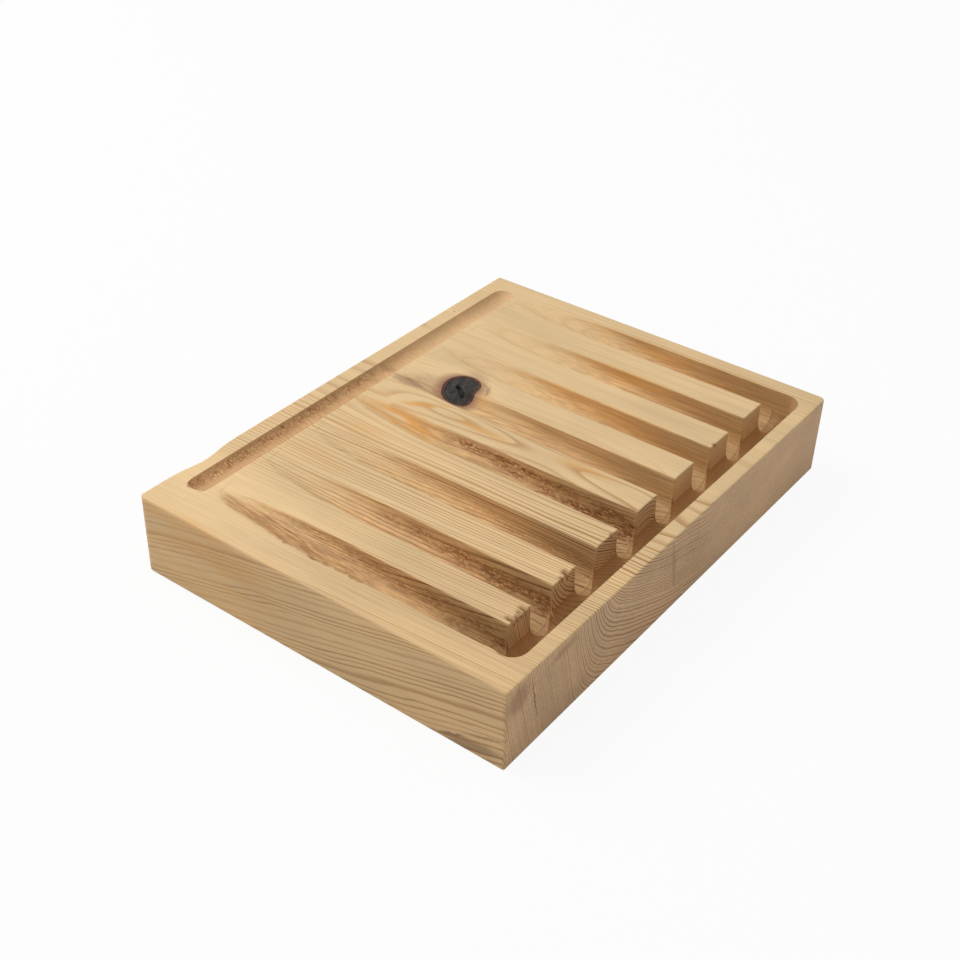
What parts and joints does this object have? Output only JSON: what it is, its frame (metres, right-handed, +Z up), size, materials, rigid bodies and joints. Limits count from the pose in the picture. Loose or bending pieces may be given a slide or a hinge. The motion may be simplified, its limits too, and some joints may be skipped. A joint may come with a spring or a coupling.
{
  "type": "soap dish",
  "caption": "Rectangular softwood soap dish routed from one board, with a row of ribs and sloping drain grooves that empty into a deep cross channel.",
  "frame": {"origin": "centre of the underside, on the surface that the dish stands on", "axes": "+X along the grain and the grooves, from the shallow channel to the deep one; +Y across the grooves, from the wide rim to the narrow rim; +Z up"},
  "size_m": [0.105, 0.14, 0.0215],
  "materials": {
    "raw_softwood": "bare, machined and lightly sanded",
    "dead_bark": "crumbly, matt",
    "dead_knot_wood": "weathered, cracked, slightly shiny"
  },
  "bodies": {
    "root": {"dish_block": "raw_softwood", "knot_bark": "dead_bark", "knot_core": "dead_knot_wood"}
  },
  "joints": []
}
